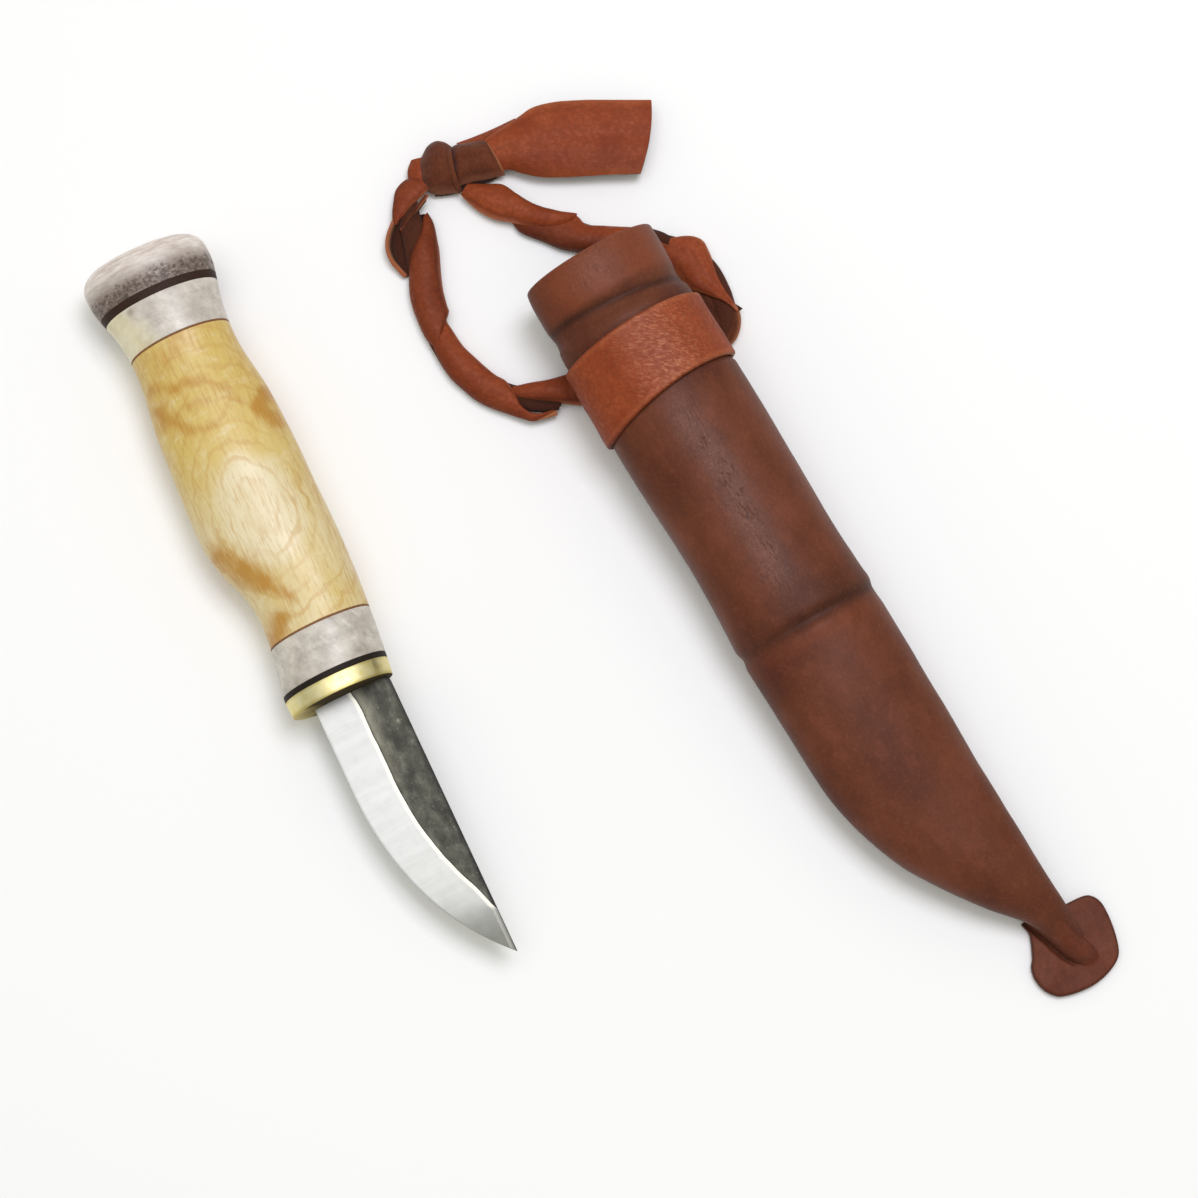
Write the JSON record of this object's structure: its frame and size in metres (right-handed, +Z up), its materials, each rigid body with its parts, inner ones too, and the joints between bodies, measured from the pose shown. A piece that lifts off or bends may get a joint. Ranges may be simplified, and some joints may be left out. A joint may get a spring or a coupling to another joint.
{
  "type": "whittling knife with sheath",
  "caption": "Short straight-backed whittling knife with an oval birch and antler handle, beside its moulded leather sheath with a carry band and a knotted hanging thong.",
  "frame": {"origin": "the middle of the footprint of the knife and its sheath, on the surface that they lie on", "axes": "+X along the knife from its butt to its blade's tip; +Y across the knife towards the back of its blade, where the sheath lies; +Z up"},
  "size_m": [0.2226, 0.1366, 0.0277],
  "materials": {
    "antler": "smooth, satin, mottled grey",
    "curly_birch": "oiled, satin",
    "blade": "dark forged flats with a bright satin ground bevel",
    "liner_plastic": "matt black",
    "brass": "polished",
    "thong_leather": "tan grained leather",
    "black_fibre": "matt",
    "red_fibre": "matt",
    "dark_fibre": "matt",
    "sheath_leather": "dark red-brown smooth leather",
    "epoxy": "clear amber"
  },
  "bodies": {
    "sheath": {"blade_liner": "liner_plastic", "carry_band": "thong_leather", "sheath_leather": "sheath_leather", "thong_knot": "thong_leather", "thong_left": "thong_leather", "thong_right": "thong_leather", "thong_tail": "thong_leather"},
    "knife": {"antler_pommel": "antler", "birch_grip": "curly_birch", "blade": "blade", "brass_bolster": "brass", "front_antler_ring": "antler", "front_black_spacer": "black_fibre", "front_liner": "red_fibre", "rear_antler_ring": "antler", "rear_dark_spacer": "dark_fibre", "rear_liner": "red_fibre", "tang_glue": "epoxy"}
  },
  "joints": [
    {"name": "knife_lift", "type": "slide", "parent": "sheath", "child": "knife", "axis": [0, 0, 1], "range_m": [0, 0.1]}
  ]
}
